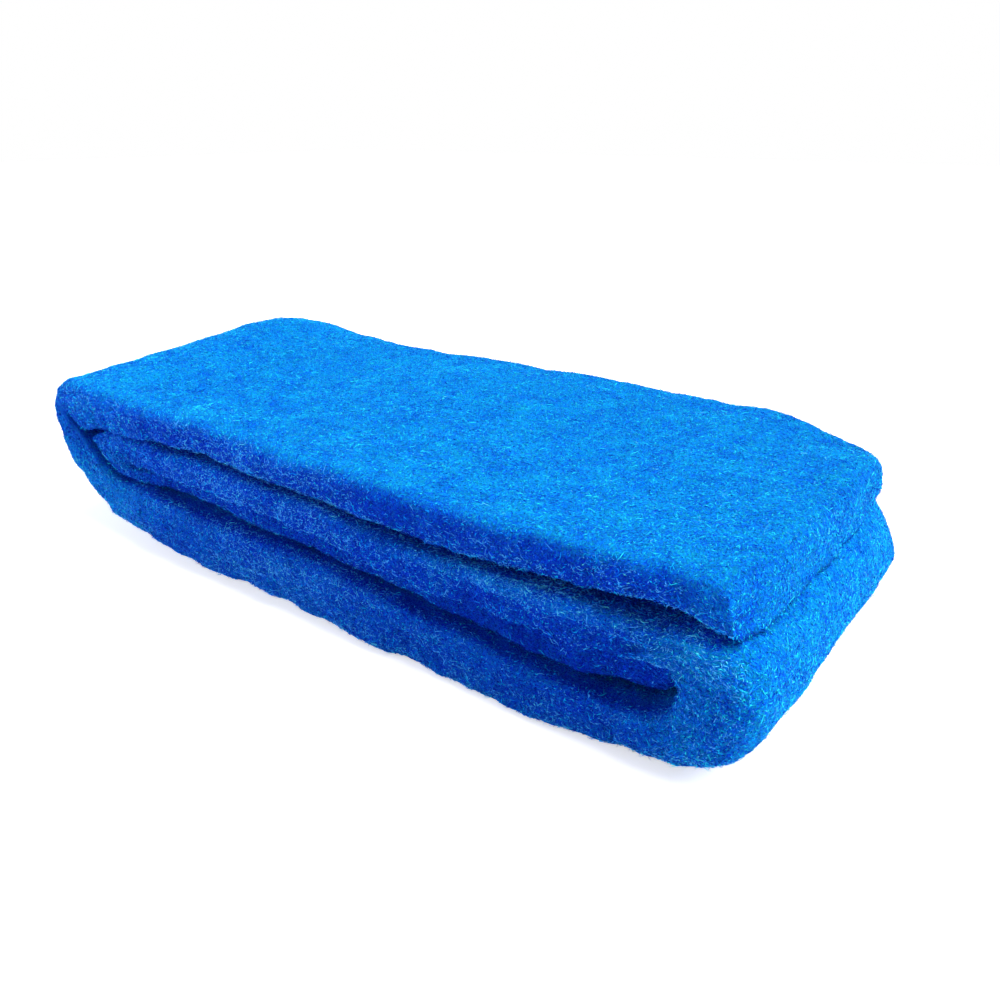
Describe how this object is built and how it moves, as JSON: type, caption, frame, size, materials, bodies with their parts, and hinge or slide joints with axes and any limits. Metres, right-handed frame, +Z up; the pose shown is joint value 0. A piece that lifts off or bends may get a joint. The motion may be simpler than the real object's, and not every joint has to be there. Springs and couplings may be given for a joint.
{
  "type": "sponge filter mat",
  "caption": "Length of blue nonwoven fibre filter media for ponds and aquariums, folded flat into four layers, with a top flap that opens.",
  "frame": {"origin": "on the floor, under the centre of the folded mat's box", "axes": "+X along the layers, towards the large rounded fold; +Y across the sheet's width, away from the viewer; +Z up"},
  "size_m": [0.262, 0.12, 0.05],
  "materials": {
    "outer_fibre": "matte",
    "inner_fibre": "matte"
  },
  "bodies": {
    "lower_mat": {"bottom_layer": "outer_fibre", "right_fold": "outer_fibre", "second_layer": "inner_fibre", "inner_fold": "inner_fibre", "third_layer": "inner_fibre"},
    "fold_wall": {"left_fold": "outer_fibre"},
    "top_flap": {"top_layer": "outer_fibre"}
  },
  "joints": [
    {"name": "fold_opening", "type": "hinge", "parent": "fold_wall", "child": "top_flap", "pos_m": [-0.13133, 0, 0.04723], "axis": [0, -1, 0], "range_deg": [0, 120]},
    {"name": "wall_opening", "type": "hinge", "parent": "lower_mat", "child": "fold_wall", "pos_m": [-0.10511, 0, 0.00372], "axis": [0, -1, 0], "range_deg": [0, 60]}
  ],
  "couplings": [
    {"joint": "wall_opening", "follows": "fold_opening", "ratio": 0.5}
  ]
}
